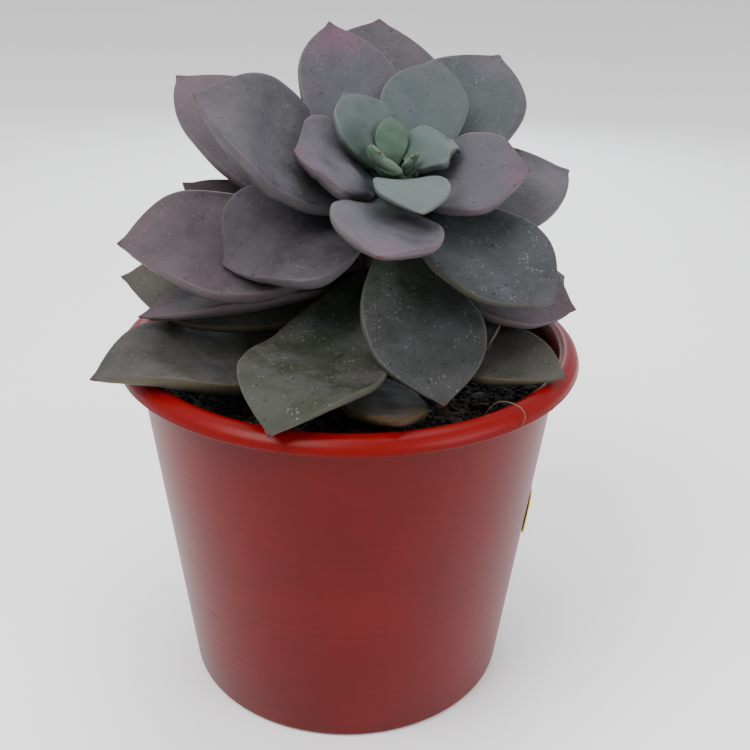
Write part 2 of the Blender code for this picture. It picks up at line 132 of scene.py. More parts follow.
def merged_copy(node: str) -> bmesh.types.BMesh:
    """A bmesh copy of a CAD node with its doubled vertices merged."""
    bm = bmesh.new()
    bm.from_mesh(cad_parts[node].data)
    bmesh.ops.remove_doubles(bm, verts=bm.verts, dist=2e-6)
    bm.verts.ensure_lookup_table()
    bm.faces.ensure_lookup_table()
    return bm


def new_piece(name: str, bm: bmesh.types.BMesh, material: bpy.types.Material,
              shading: Shading = Shading.SMOOTH) -> bpy.types.Object:
    """Turn a bmesh into a piece that rides on the object.

    Args:
        name: Name of the piece.
        bm: Its shape, in the row frame; freed here.
        material: Its finish.
        shading: How its faces are shaded.

    Returns:
        The new object.
    """
    mesh = bpy.data.meshes.new(name)
    for face in bm.faces:
        face.smooth = shading.value
    bm.to_mesh(mesh)
    bm.free()
    mesh.materials.append(material)
    obj = bpy.data.objects.new(name, mesh)
    bpy.context.scene.collection.objects.link(obj)
    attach(obj, BODY)
    return obj


# --- node sketching --------------------------------------------------------------------------
class Sketch:
    """Short-hand for building a node tree."""

    def __init__(self, tree: bpy.types.NodeTree) -> None:
        self.tree = tree

    def node(self, kind: str, **props) -> bpy.types.Node:
        """Add a node and set its properties."""
        made = self.tree.nodes.new(kind)
        for key, value in props.items():
            setattr(made, key, value)
        return made

    def put(self, socket: bpy.types.NodeSocket, value) -> None:
        """Link another socket, or set a constant, on an input socket."""
        if isinstance(value, bpy.types.NodeSocket):
            self.tree.links.new(value, socket)
        elif value is not None:
            socket.default_value = value

    def math(self, operation: str, a, b=None, c=None, clamp: bool = False):
        """One Math node; returns its value socket."""
        made = self.node("ShaderNodeMath", operation=operation, use_clamp=clamp)
        for socket, value in zip(made.inputs, (a, b, c)):
            self.put(socket, value)
        return made.outputs[0]

    def rise(self, value, low: float, high: float):
        """Smooth 0 to 1 as the value goes from low to high."""
        made = self.node("ShaderNodeMapRange", interpolation_type="SMOOTHSTEP")
        self.put(made.inputs["Value"], value)
        made.inputs["From Min"].default_value = low
        made.inputs["From Max"].default_value = high
        return made.outputs["Result"]

    def mix(self, factor, a, b):
        """Mix two colours."""
        made = self.node("ShaderNodeMix", data_type="RGBA", blend_type="MIX")
        made.clamp_factor = True
        self.put(made.inputs[0], factor)
        self.put(made.inputs[6], a)
        self.put(made.inputs[7], b)
        return made.outputs[2]

    def noise(self, vector, scale: float, detail: float = 3.0, roughness: float = 0.5):
        """Noise value between 0 and 1."""
        made = self.node("ShaderNodeTexNoise")
        self.put(made.inputs["Vector"], vector)
        made.inputs["Scale"].default_value = scale
        made.inputs["Detail"].default_value = detail
        made.inputs["Roughness"].default_value = roughness
        return made.outputs[0]

    def cells(self, vector, scale: float):
        """Distance to the nearest of scattered points, and that point's colour."""
        made = self.node("ShaderNodeTexVoronoi")
        self.put(made.inputs["Vector"], vector)
        made.inputs["Scale"].default_value = scale
        made.inputs["Randomness"].default_value = 1.0
        return made.outputs["Distance"], made.outputs["Color"]

    def specks(self, vector, scale: float, channel: int, spread: float, least: float,
               soft: float):
        """Mask of scattered specks, each of its own size."""
        distance, tint = self.cells(vector, scale)
        size = self.math("MULTIPLY_ADD", self.split(tint)[channel], spread, least)
        return self.rise(self.math("SUBTRACT", size, distance), 0.0, soft)

    def split(self, vector):
        """The three components of a vector."""
        made = self.node("ShaderNodeSeparateXYZ")
        self.put(made.inputs[0], vector)
        return made.outputs[0], made.outputs[1], made.outputs[2]

    def stretch(self, vector, scale: Sequence[float], shift: Sequence[float] = (0, 0, 0)):
        """Scale and shift a texture vector."""
        made = self.node("ShaderNodeMapping")
        self.put(made.inputs["Vector"], vector)
        made.inputs["Scale"].default_value = scale
        made.inputs["Location"].default_value = shift
        return made.outputs[0]

    def bump(self, height, distance: float, strength: float = 1.0, normal=None):
        """Normal from a height in units of distance."""
        made = self.node("ShaderNodeBump")
        made.inputs["Strength"].default_value = strength
        made.inputs["Distance"].default_value = distance
        self.put(made.inputs["Height"], height)
        self.put(made.inputs["Normal"], normal)
        return made.outputs[0]


def display(colour: Colour) -> tuple[float, float, float, float]:
    """Linear light from display values between 0 and 255."""
    linear = []
    for channel in colour:
        c = channel / 255.0
        linear.append(c / 12.92 if c <= 0.04045 else ((c + 0.055) / 1.055) ** 2.4)
    return (linear[0], linear[1], linear[2], 1.0)


def rgba(colour: Colour) -> tuple[float, float, float, float]:
    """A base colour for the studio's bright light, deeper and purer than the display one."""
    linear = display(colour)[:3]
    grey = sum(linear) / 3.0
    pure = [max(grey + (c - grey) * PURITY, 0.0) * DEPTH for c in linear]
    return (pure[0], pure[1], pure[2], 1.0)


def group_tree(name: str, inputs: Iterable[tuple[str, str]],
               outputs: Iterable[tuple[str, str]]) -> tuple[Sketch, dict, bpy.types.Node]:
    """Start a shader node group.

    Args:
        name: Name of the group.
        inputs: Names and socket types coming in.
        outputs: Names and socket types going out.

    Returns:
        The sketch, the incoming sockets by name and the output node.
    """
    tree = bpy.data.node_groups.new(name, "ShaderNodeTree")
    for label, kind in inputs:
        tree.interface.new_socket(name=label, in_out="INPUT", socket_type=kind)
    for label, kind in outputs:
        tree.interface.new_socket(name=label, in_out="OUTPUT", socket_type=kind)
    sketch = Sketch(tree)
    source = sketch.node("NodeGroupInput")
    sink = sketch.node("NodeGroupOutput")
    return sketch, {s.name: s for s in source.outputs if s.name}, sink


VALUE, VECTOR, COLOUR = "NodeSocketFloat", "NodeSocketVector", "NodeSocketColor"


# --- leaf finish -----------------------------------------------------------------------------
@dataclass(frozen=True)
class LeafFinish:
    """Colours and marks of one kind of leaf; colours are display values."""

    slot: str
    base: Colour
    middle: Colour
    tip: Colour
    edge: Colour
    under: Colour
    blush: float = 0.35
    speckle: float = 0.5
    dust: float = 0.35
    bloom: float = 0.5
    scars: float = 0.0
    roughness: float = 0.52


BUD = LeafFinish("leaf_young", (98, 128, 98), (124, 150, 132), (150, 152, 146),
                 (158, 172, 160), (116, 142, 118), blush=0.25, speckle=0.12, dust=0.15)
INNER = LeafFinish("leaf_young", (98, 122, 102), (122, 140, 134), (140, 132, 138),
                   (164, 170, 166), (116, 132, 118), blush=0.45, speckle=0.22, dust=0.2)
MAUVE = LeafFinish("leaf_middle", (92, 104, 98), (112, 112, 119), (134, 100, 118),
                   (160, 148, 156), (104, 110, 100), blush=0.75, speckle=0.4, dust=0.3)
GREY = LeafFinish("leaf_middle", (84, 92, 86), (98, 98, 102), (122, 106, 116),
                  (150, 142, 148), (96, 100, 86), blush=0.45, speckle=0.55, dust=0.4)
PURPLE = LeafFinish("leaf_outer", (92, 94, 90), (110, 100, 104), (136, 114, 122),
                    (150, 138, 142), (104, 100, 84), blush=0.55, speckle=0.5, dust=0.4)
GREEN = LeafFinish("leaf_outer", (64, 78, 62), (80, 86, 78), (104, 98, 96),
                   (134, 132, 122), (92, 96, 70), blush=0.35, speckle=0.75, dust=0.6)
OLIVE = LeafFinish("leaf_old", (86, 90, 66), (98, 98, 84), (116, 104, 98),
                   (136, 128, 110), (112, 112, 76), blush=0.35, speckle=0.6, dust=0.45)
BROWNING = LeafFinish("leaf_old", (60, 62, 42), (82, 78, 54), (120, 92, 62),
                      (112, 96, 66), (78, 72, 48), blush=0.8, speckle=0.7, dust=0.3,
                      bloom=0.25)

FINISH_BY_AGE: tuple[tuple[int, LeafFinish], ...] = (
    (4, BUD), (7, INNER), (13, MAUVE), (18, GREY), (32, PURPLE), (99, OLIVE))
FINISH_OF: dict[str, LeafFinish] = {
    "leaf_08": replace(INNER, slot="leaf_middle", blush=0.4, middle=(104, 116, 116)),
    "leaf_13": replace(GREY, middle=(92, 100, 102)),
    "leaf_15": replace(GREEN, slot="leaf_middle", middle=(86, 92, 94), base=(72, 84, 76)),
    "leaf_17": replace(GREY, middle=(98, 94, 100), base=(78, 86, 82)),
    "leaf_20": replace(GREEN, middle=(84, 88, 84)),
    "leaf_25": replace(GREEN, middle=(78, 83, 68), tip=(86, 90, 74), blush=0.1, scars=1.0),
    "leaf_33": BROWNING,
    "leaf_43": replace(OLIVE, middle=(92, 92, 84), scars=0.8),
}


def finish_of(node: str) -> LeafFinish:
    """The finish of a leaf by its place in the spiral."""
    if node in FINISH_OF:
        return FINISH_OF[node]
    number = int(node.split("_")[1])
    return next(finish for last, finish in FINISH_BY_AGE if number <= last)


def leaf_skin_group() -> bpy.types.NodeTree:
    """Node group shared by all leaves.

    Place holds, for each point, across (-1 to 1), along (0 to 1) and up (-1 under, 1 over).
    """
    s, given, sink = group_tree(
        "leaf_skin",
        [("Place", VECTOR), ("Point", VECTOR), ("Base", COLOUR), ("Middle", COLOUR),
         ("Tip", COLOUR), ("Edge", COLOUR), ("Under", COLOUR), ("Blush", VALUE),
         ("Speckle", VALUE), ("Dust", VALUE), ("Bloom", VALUE), ("Scars", VALUE),
         ("Roughness", VALUE)],
        [("Color", COLOUR), ("Roughness", VALUE), ("Normal", VECTOR), ("Powder", VALUE)])
    across, along, up = s.split(given["Place"])
    point = given["Point"]
    broad = s.noise(point, 85.0, 3.0, 0.55)
    cloud = s.noise(point, 260.0, 4.0, 0.6)
    fine = s.noise(point, 2300.0, 2.0, 0.6)
    wander = s.math("MULTIPLY_ADD", s.math("SUBTRACT", broad, 0.5), 0.5, along)
    colour = s.mix(s.rise(wander, 0.12, 0.55), given["Base"], given["Middle"])
    over = s.rise(up, -0.25, 0.15)
    # pink towards the tip and along the outer margins
    edge_place = s.math("POWER", s.math("ABSOLUTE", across), 3.0)
    outer = s.math("MULTIPLY", edge_place, s.rise(along, 0.35, 0.95))
    pink = s.math("MAXIMUM", s.rise(wander, 0.72, 1.04),
                  s.math("MULTIPLY", outer, s.math("MULTIPLY_ADD", cloud, 0.8, 0.15)))
    colour = s.mix(s.math("MULTIPLY", pink, given["Blush"], clamp=True), colour,
                   given["Tip"])
    # the lighter keel and cells of the lower side
    keel = s.math("SUBTRACT", 1.0, s.math("MULTIPLY", s.math("ABSOLUTE", across), 1.25),
                  clamp=True)
    under = s.mix(s.math("MULTIPLY_ADD", keel, 0.5, 0.45), colour, given["Under"])
    colour = s.mix(over, under, colour)
    # cloudy shifts of tone
    tone = s.math("MULTIPLY_ADD", s.math("SUBTRACT", broad, 0.5), 0.62, 1.0)
    tone = s.math("MULTIPLY_ADD", s.math("SUBTRACT", cloud, 0.5), 0.34, tone)
    toned = s.node("ShaderNodeVectorMath", operation="SCALE")
    s.put(toned.inputs[0], colour)
    s.put(toned.inputs["Scale"], tone)
    colour = toned.outputs[0]
    # powdery bloom, thinner where it has been rubbed
    rubbed = s.noise(point, 150.0, 5.0, 0.68)
    powder = s.math("MULTIPLY", s.rise(rubbed, 0.34, 0.66), given["Bloom"])
    grain = s.math("MULTIPLY_ADD", fine, 0.5, 0.72)
    powder = s.math("MULTIPLY", powder, grain)
    colour = s.mix(s.math("MULTIPLY", powder, 0.36), colour, rgba((168, 166, 172)))
    # pale dots of dust and dark pits, each point at its own size
    dots, dot_tint = s.cells(point, 1150.0)
    dot_size = s.split(dot_tint)[0]
    reach = s.math("MULTIPLY_ADD", dot_size, 0.36, 0.0)
    pale = s.math("GREATER_THAN", reach, dots)
    pale = s.math("MULTIPLY", pale, s.rise(s.noise(point, 190.0, 2.0), 0.36, 0.62))
    colour = s.mix(s.math("MULTIPLY", pale, given["Dust"]), colour, rgba((176, 178, 172)))
    dark = s.specks(point, 620.0, 1, 0.40, -0.12, 0.05)
    colour = s.mix(s.math("MULTIPLY", dark, given["Speckle"]), colour, rgba((48, 48, 46)))
    spot = s.specks(point, 150.0, 2, 0.20, -0.12, 0.02)
    colour = s.mix(s.math("MULTIPLY", spot, s.math("MULTIPLY", given["Speckle"], 1.1)),
                   colour, rgba((52, 44, 40)))
    # scrapes with a pale middle
    lane = s.cells(s.stretch(point, (1.0, 1.0, 3.2)), 62.0)[0]
    scrape = s.math("SUBTRACT", 1.0, s.rise(lane, 0.06, 0.13))
    ragged = s.math("MULTIPLY", scrape, s.rise(s.noise(point, 900.0, 3.0), 0.4, 0.6))
    scar = s.math("MULTIPLY", ragged, given["Scars"])
    colour = s.mix(s.math("MULTIPLY", scar, 0.75), colour, rgba((148, 142, 124)))
    # the thin light line of the margin
    line = s.rise(s.math("ABSOLUTE", across), 0.955, 0.992)
    margin = s.math("MULTIPLY", line, s.rise(along, 0.08, 0.4))
    margin = s.math("MULTIPLY", margin, s.math("MULTIPLY_ADD", cloud, 0.9, 0.25))
    colour = s.mix(margin, colour, given["Edge"])
    # the point itself dries to a dark red-brown
    colour = s.mix(s.rise(along, 0.975, 0.998), colour, rgba((112, 62, 66)))
    rough = s.math("MULTIPLY_ADD", powder, 0.30, given["Roughness"])
    rough = s.math("MULTIPLY_ADD", s.math("SUBTRACT", cloud, 0.5), 0.16, rough, clamp=True)
    soft = s.math("MULTIPLY_ADD", broad, 0.9, s.math("MULTIPLY", cloud, 0.35))
    soft = s.math("SUBTRACT", soft, s.math("MULTIPLY", spot, 0.4))
    first = s.bump(soft, 0.0011, 0.55)
    pores = s.math("SUBTRACT", fine, s.math("MULTIPLY", dark, 0.9))
    pores = s.math("MULTIPLY_ADD", pale, 0.35, pores)
    normal = s.bump(pores, 0.00013, 0.6, first)
    s.put(sink.inputs["Color"], colour)
    s.put(sink.inputs["Roughness"], rough)
    s.put(sink.inputs["Normal"], normal)
    s.put(sink.inputs["Powder"], powder)
    return s.tree


def leaf_material(node: str, finish: LeafFinish, skin: bpy.types.NodeTree) -> bpy.types.Material:
    """A leaf's own material over the shared skin group."""
    material = bpy.data.materials.new(node + "_skin")
    material.use_nodes = True
    s = Sketch(material.node_tree)
    shader = material.node_tree.nodes["Principled BSDF"]
    group = s.node("ShaderNodeGroup", node_tree=skin)
    place = s.node("ShaderNodeAttribute", attribute_name="leaf_place")
    coords = s.node("ShaderNodeTexCoord")
    s.put(group.inputs["Place"], place.outputs["Vector"])
    s.put(group.inputs["Point"], coords.outputs["Object"])
    for label, colour in (("Base", finish.base), ("Middle", finish.middle),
                          ("Tip", finish.tip), ("Edge", finish.edge),
                          ("Under", finish.under)):
        group.inputs[label].default_value = rgba(colour)
    for label, value in (("Blush", finish.blush), ("Speckle", finish.speckle),
                         ("Dust", finish.dust), ("Bloom", finish.bloom),
                         ("Scars", finish.scars), ("Roughness", finish.roughness)):
        group.inputs[label].default_value = value
    # painted sheen: a pale mauve is mixed into the base colour at grazing angles, stronger where
    # the bloom is thick
    grazing = s.node("ShaderNodeLayerWeight")
    grazing.inputs["Blend"].default_value = 0.28
    s.put(grazing.inputs["Normal"], group.outputs["Normal"])
    bloom_and_painted_sheen = s.math("MULTIPLY", grazing.outputs["Facing"],
                  s.math("MULTIPLY_ADD", group.outputs["Powder"], 0.5, 0.10), clamp=True)
    s.put(shader.inputs["Base Color"],
          s.mix(bloom_and_painted_sheen, group.outputs["Color"], rgba((188, 180, 190))))
    s.put(shader.inputs["Roughness"], group.outputs["Roughness"])
    s.put(shader.inputs["Normal"], group.outputs["Normal"])
    shader.inputs["Specular IOR Level"].default_value = 0.2
    shader.inputs["Subsurface Weight"].default_value = 0.06
    shader.inputs["Subsurface Radius"].default_value = (0.5, 0.6, 0.3)
    shader.inputs["Subsurface Scale"].default_value = 0.003
    return material


# --- other finishes --------------------------------------------------------------------------
def principled(name: str) -> tuple[Sketch, bpy.types.Node, bpy.types.NodeSocket]:
    """A new material: its sketch, its shader and its object coordinates."""
    material = bpy.data.materials.new(name)
    material.use_nodes = True
    s = Sketch(material.node_tree)
    coords = s.node("ShaderNodeTexCoord")
    return s, material.node_tree.nodes["Principled BSDF"], coords.outputs["Object"]


def dressed(s: Sketch, shader: bpy.types.Node, colour, rough, normal,
            specular: float = 0.5) -> bpy.types.Material:
    """Give a shader its colour, roughness and normal; returns its material."""
    s.put(shader.inputs["Base Color"], colour)
    s.put(shader.inputs["Roughness"], rough)
    s.put(shader.inputs["Normal"], normal)
    shader.inputs["Specular IOR Level"].default_value = specular
    return next(m for m in bpy.data.materials if m.node_tree == s.tree)


def pot_material() -> bpy.types.Material:
    """Crimson moulded plastic with faint turning marks, scuffs and dust, and a painted highlight
    on the lip top.
    """
    s, shader, point = principled("pot_plastic_crimson")
    height_up = s.split(point)[2]
    cloud = s.noise(point, 42.0, 4.0, 0.6)
    colour = s.mix(s.rise(cloud, 0.3, 0.7), rgba((134, 4, 22)), rgba((150, 6, 28)))
    # painted highlight: the top of the lip is painted a brighter red where it faces up to the
    # lamps
    lip = s.rise(height_up, 0.0815, 0.0832)
    colour = s.mix(lip, colour, rgba((172, 6, 26)))
    rings = s.noise(s.stretch(point, (14.0, 14.0, 950.0)), 1.0, 3.0, 0.6)
    # long light scuffs from stacking and handling
    worn = s.noise(s.stretch(point, (150.0, 150.0, 1500.0), (3.0, 1.0, 0.0)), 1.0, 4.0, 0.7)
    patch = s.rise(s.noise(point, 58.0, 2.0), 0.58, 0.72)
    scuff = s.math("MULTIPLY", s.rise(worn, 0.60, 0.70), patch)
    colour = s.mix(s.math("MULTIPLY", scuff, 0.35), colour, rgba((186, 96, 100)))
    speck = s.specks(point, 420.0, 0, 0.16, -0.11, 0.015)
    colour = s.mix(s.math("MULTIPLY", speck, 0.5), colour, rgba((206, 150, 146)))
    rough = s.math("MULTIPLY_ADD", s.math("SUBTRACT", cloud, 0.5), 0.12, 0.36)
    rough = s.math("MULTIPLY_ADD", scuff, 0.25, rough)
    height = s.math("MULTIPLY_ADD", rings, 0.5, s.math("MULTIPLY", cloud, 0.6))
    fine = s.noise(point, 1900.0, 2.0)
    normal = s.bump(height, 0.00022, 0.35)
    shader.inputs["Coat Weight"].default_value = 0.03
    shader.inputs["Coat Roughness"].default_value = 0.3
    return dressed(s, shader, colour, rough, s.bump(fine, 0.00004, 0.4, normal), 0.14)


def mix_material() -> bpy.types.Material:
    """Nearly black, damp peat with brown and pale flecks."""
    s, shader, point = principled("potting_mix_peat")
    cloud = s.noise(point, 160.0, 5.0, 0.65)
    grain = s.noise(point, 900.0, 4.0, 0.7)
    colour = s.mix(s.rise(cloud, 0.35, 0.7), rgba((16, 14, 14)), rgba((40, 33, 29)))
    colour = s.mix(s.rise(grain, 0.56, 0.74), colour, rgba((66, 53, 43)))
    fleck = s.specks(point, 700.0, 0, 0.22, -0.17, 0.03)
    colour = s.mix(s.math("MULTIPLY", fleck, 0.7), colour, rgba((124, 112, 98)))
    normal = s.bump(grain, 0.0005, 0.9, s.bump(cloud, 0.0016, 0.8))
    return dressed(s, shader, colour, s.math("MULTIPLY_ADD", grain, 0.3, 0.62), normal, 0.25)


def chip_material(name: str, dark: Colour, light: Colour) -> bpy.types.Material:
    """Bark, grit or fibre with streaks."""
    s, shader, point = principled(name)
    streak = s.noise(s.stretch(point, (500.0, 1600.0, 900.0)), 1.0, 4.0, 0.6)
    tint = s.noise(point, 240.0, 2.0)
    blend = s.math("MULTIPLY_ADD", tint, 0.5, s.math("MULTIPLY", streak, 0.6))
    return dressed(s, shader, s.mix(s.rise(blend, 0.3, 0.75), rgba(dark), rgba(light)),
                   s.math("MULTIPLY_ADD", streak, 0.25, 0.6), s.bump(streak, 0.0002, 0.7))


def stem_material() -> bpy.types.Material:
    """Green-brown skin with corky bands where old leaves have fallen."""
    s, shader, point = principled("stem_skin_corky")
    bands = s.noise(s.stretch(point, (120.0, 120.0, 620.0)), 1.0, 4.0, 0.6)
    cloud = s.noise(point, 300.0, 4.0, 0.6)
    colour = s.mix(s.rise(bands, 0.36, 0.64), rgba((96, 92, 60)), rgba((128, 112, 82)))
    colour = s.mix(s.rise(cloud, 0.5, 0.75), colour, rgba((78, 92, 58)))
    return dressed(s, shader, colour, s.math("MULTIPLY_ADD", cloud, 0.3, 0.5),
                   s.bump(bands, 0.0008, 0.8, s.bump(cloud, 0.0004, 0.5)))


def sticker_material() -> bpy.types.Material:
    """Plain yellow coated paper, a little mottled and soiled."""
    s, shader, point = principled("sticker_paper_plain")
    cloud = s.noise(point, 210.0, 4.0, 0.6)
    fibre = s.noise(point, 2600.0, 3.0, 0.6)
    colour = s.mix(s.rise(cloud, 0.35, 0.72), display((232, 214, 60)), display((214, 192, 44)))
    colour = s.mix(s.math("MULTIPLY", s.rise(fibre, 0.6, 0.8), 0.25), colour,
                   display((170, 150, 60)))
    return dressed(s, shader, colour, s.math("MULTIPLY_ADD", cloud, 0.2, 0.42),
                   s.bump(fibre, 0.00003, 0.5))


def floor_material() -> bpy.types.Material:
    """A pale, even tabletop."""
    s, shader, point = principled("pale_floor")
    cloud = s.noise(point, 3.0, 2.0)
    s.put(shader.inputs["Base Color"],
          s.mix(s.rise(cloud, 0.2, 0.8), display((240, 240, 240)), display((246, 246, 246))))
    shader.inputs["Roughness"].default_value = 0.75
    return bpy.data.materials["pale_floor"]


# --- leaves ----------------------------------------------------------------------------------
def cut_across(verts: np.ndarray, edges: np.ndarray, place: np.ndarray,
               ahead: np.ndarray) -> np.ndarray:
    """Points where a plane crosses the edges of a mesh."""
    depth = (verts - place) @ ahead
    first, second = depth[edges[:, 0]], depth[edges[:, 1]]
    crossed = first * second < 0.0
    share = (first[crossed] / (first[crossed] - second[crossed]))[:, None]
    start, end = verts[edges[crossed, 0]], verts[edges[crossed, 1]]
    return start + (end - start) * share


def margin_lift(cut: np.ndarray, side: np.ndarray, normal: np.ndarray) -> float:
    """How far a cut's margins stand above the middle of its height."""
    reach, height = cut @ side, cut @ normal
    middle = 0.5 * (reach.max() + reach.min())
    width = 0.5 * (reach.max() - reach.min())
    inner = height[np.abs(reach - middle) < 0.5 * width]
    rim = 0.5 * (height[reach.argmax()] + height[reach.argmin()])
    return float(rim - 0.5 * (inner.max() + inner.min()))


@dataclass(frozen=True)
class LeafFrame:
    """Stations measured along one CAD leaf, from its base to its tip."""

    node: str
    t: np.ndarray
    points: np.ndarray
    normals: np.ndarray
    side: np.ndarray
    half: np.ndarray
    thick: np.ndarray
    length: float

    @classmethod
    def measure(cls, node: str, stem: np.ndarray) -> "LeafFrame":
        """Read a CAD leaf by cutting it across from base to tip.

        Args:
            node: The CAD leaf.
            stem: Points on the stem, which tell the base from the tip.

        Returns:
            Its stations.
        """
        bm = merged_copy(node)
        verts = np.array([v.co for v in bm.verts])
        edges = np.array([[v.index for v in e.verts] for e in bm.edges])
        poles = np.array([v.co for v in bm.verts if len(v.link_edges) >= POLE_EDGES])
        bm.free()
        near = [float(np.linalg.norm(stem - pole, axis=1).min()) for pole in poles]
        base = poles[int(np.argmin(near))]
        tip = poles[int(np.argmax(np.linalg.norm(poles - base, axis=1)))]
        chord = tip - base
        places = base + np.outer(CUTS, chord)
        tangents = np.repeat(unit(chord)[None, :], len(CUTS), axis=0)
        flat = (verts - base) - np.outer((verts - base) @ unit(chord), unit(chord))
        flat -= flat.mean(axis=0)
        side = np.linalg.eigh(flat.T @ flat)[1][:, -1]
        for _ in range(2):
            cuts = [cut_across(verts, edges, place, ahead)
                    for place, ahead in zip(places, tangents)]
            middles = np.array([0.5 * (cut.min(axis=0) + cut.max(axis=0)) for cut in cuts])
            walk = np.vstack([base, middles, tip])
            tangents = (walk[2:] - walk[:-2])
            tangents /= np.linalg.norm(tangents, axis=1)[:, None]
            places = middles
        cuts = [cut_across(verts, edges, place, ahead)
                for place, ahead in zip(places, tangents)]
        turns = [unit(np.cross(ahead, side)) for ahead in tangents]
        lifted = sum(margin_lift(cut, side, normal) for cut, normal in zip(cuts, turns))
        if lifted < 0.0:
            side, turns = -side, [-normal for normal in turns]
        points, half, thick = [], [], []
        for cut, normal in zip(cuts, turns):
            reach, height = cut @ side, cut @ normal
            middle = 0.5 * (reach.max() + reach.min())
            width = 0.5 * (reach.max() - reach.min())
            inner = np.abs(reach - middle) < 0.5 * width
            rim = 0.5 * (height[reach.argmax()] + height[reach.argmin()])
            ahead = np.cross(side, normal)
            points.append(side * middle + normal * (rim - SECTION_CUP * width)
                          + ahead * float((cut @ ahead).mean()))
            half.append(width)
            thick.append((height[inner].max() - height[inner].min()) / SECTION_RISE)
        points = np.array([base, *points, tip])
        normals = np.array([turns[0], *turns, turns[-1]])
        half = np.array([half[0] * 0.9, *half, 0.0])
        thick = np.array([thick[0] * 0.9, *thick, thick[-1] * 0.25])
        steps = np.linalg.norm(np.diff(points, axis=0), axis=1)
        walked = np.concatenate([[0.0], np.cumsum(steps)])
        return cls(node, walked / walked[-1], points, normals, side, half, thick,
                   float(walked[-1]))


class LeafBuilder:
    """Builds the fine leaf over the stations of a CAD leaf."""

    def __init__(self, measured: LeafFrame, seed: int) -> None:
        self.measured = measured
        self.seed = seed

    def stations(self) -> np.ndarray:
        """Places of the fine rings, denser at the base and at the tip."""
        q = np.linspace(0.0, 1.0, LEAF_RINGS + 1)[1:-1]
        return q - 0.055 * np.sin(2.0 * math.pi * q)

    def build(self) -> tuple[bmesh.types.BMesh, np.ndarray]:
        """Map a sphere over the stations.

        Returns:
            The leaf's shape and, for every vertex, its place on the blade.
        """
        m = self.measured
        fine = np.concatenate([[0.0], self.stations(), [1.0]])
        points = through(m.t, m.points, fine)
        normals = through(m.t, m.normals, fine)
        normals /= np.linalg.norm(normals, axis=1)[:, None]
        half = np.maximum(through(m.t, m.half, fine), 0.0)
        thick = np.maximum(through(m.t, m.thick, fine), 0.02 * MM)
        # the blade narrows to a short point
        drawn_in = smoothstep(fine, 0.955, 0.985) * (1.0 - smoothstep(fine, 0.99, 1.0))
        half = half * (1.0 - TIP_NARROWING * drawn_in)
        ahead = unit(points[-1] - points[-3])
        point_size = min(TIP_SIZE, TIP_SHARE * m.length)
        points = points + np.outer(smoothstep(fine, 0.965, 1.0) * point_size, ahead)
        points = points + normals * (smoothstep(fine, 0.95, 1.0) * 0.4 * point_size)[:, None]
        bm = bmesh.new()
        bmesh.ops.create_uvsphere(bm, u_segments=LEAF_SEGMENTS, v_segments=LEAF_RINGS,
                                  radius=1.0)
        unit_co = np.array([v.co for v in bm.verts])
        polar = np.arccos(np.clip(-unit_co[:, 2], -1.0, 1.0))
        ring = np.clip(np.rint(polar / math.pi * LEAF_RINGS).astype(int), 0, LEAF_RINGS)
        angle = np.arctan2(unit_co[:, 1], unit_co[:, 0])
        pole = (ring == 0) | (ring == LEAF_RINGS)
        full = np.where(np.sin(angle) > 0.0, UPPER_FULLNESS, FULLNESS)
        x = np.sign(np.cos(angle)) * np.abs(np.cos(angle)) ** full
        y = np.sign(np.sin(angle)) * np.abs(np.sin(angle)) ** full
        x, y = np.where(pole, 0.0, x), np.where(pole, 0.0, y)
        t = fine[ring]
        swell = np.sin(math.pi * np.clip(t, 0.0, 1.0))
        rise = np.where(y > 0.0, UPPER_RISE * y, LOWER_RISE * y)
        up = thick[ring] * rise + SECTION_CUP * half[ring] * x ** 2
        # a shallow midrib channel above and a keel below
        groove = np.exp(-(x / 0.16) ** 2) * swell
        up = up - np.where(y > 0.0, 0.05, 0.03) * thick[ring] * groove
        # margins stand a little proud of the upper face
        proud = np.exp(-((np.abs(x) - 0.93) / 0.05) ** 2) * (y > -0.2)
        up = up + 0.028 * thick[ring] * proud * swell
        across = half[ring] * x
        # slow unevenness of the flesh and of the outline
        wave = np.array([noise.noise(Vector((px * 1.3, pt * 4.6, 7.3 * self.seed)))
                         for px, pt in zip(x, t)])
        ripple = np.array([
            noise.noise(Vector((3.1 * self.seed, pt * 5.5, 0.0 if px > 0 else 9.0)))
            for px, pt in zip(x, t)])
        up = up + wave * FLESH_WAVE * thick[ring] * swell
        across = across * (1.0 + 0.02 * ripple)
        bent = 0.035 * half[ring] * np.array(
            [noise.noise(Vector((pt * 3.0, 5.7 * self.seed, 2.0))) for pt in t])
        co = (points[ring] + np.outer(across + bent * swell, m.side)
              + normals[ring] * up[:, None])
        for vertex, place in zip(bm.verts, co):
            vertex.co = place
        place = np.column_stack([x, t, y])
        return bm, place


def build_leaves(stem: np.ndarray) -> list[bpy.types.Object]:
    """Replace every CAD leaf by a fine one."""
    skin = leaf_skin_group()
    made = []
    for node in sorted(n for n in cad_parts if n.startswith("leaf_")):
        finish = finish_of(node)
        number = int(node.split("_")[1])
        bm, place = LeafBuilder(LeafFrame.measure(node, stem), number).build()
        piece = new_piece(node + "_blade", bm, leaf_material(node, finish, skin))
        attribute = piece.data.attributes.new("leaf_place", "FLOAT_VECTOR", "POINT")
        attribute.data.foreach_set("vector", place.ravel())
        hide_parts(node)
        made.append(piece)
    LOG.info("%d leaves", len(made))
    return made


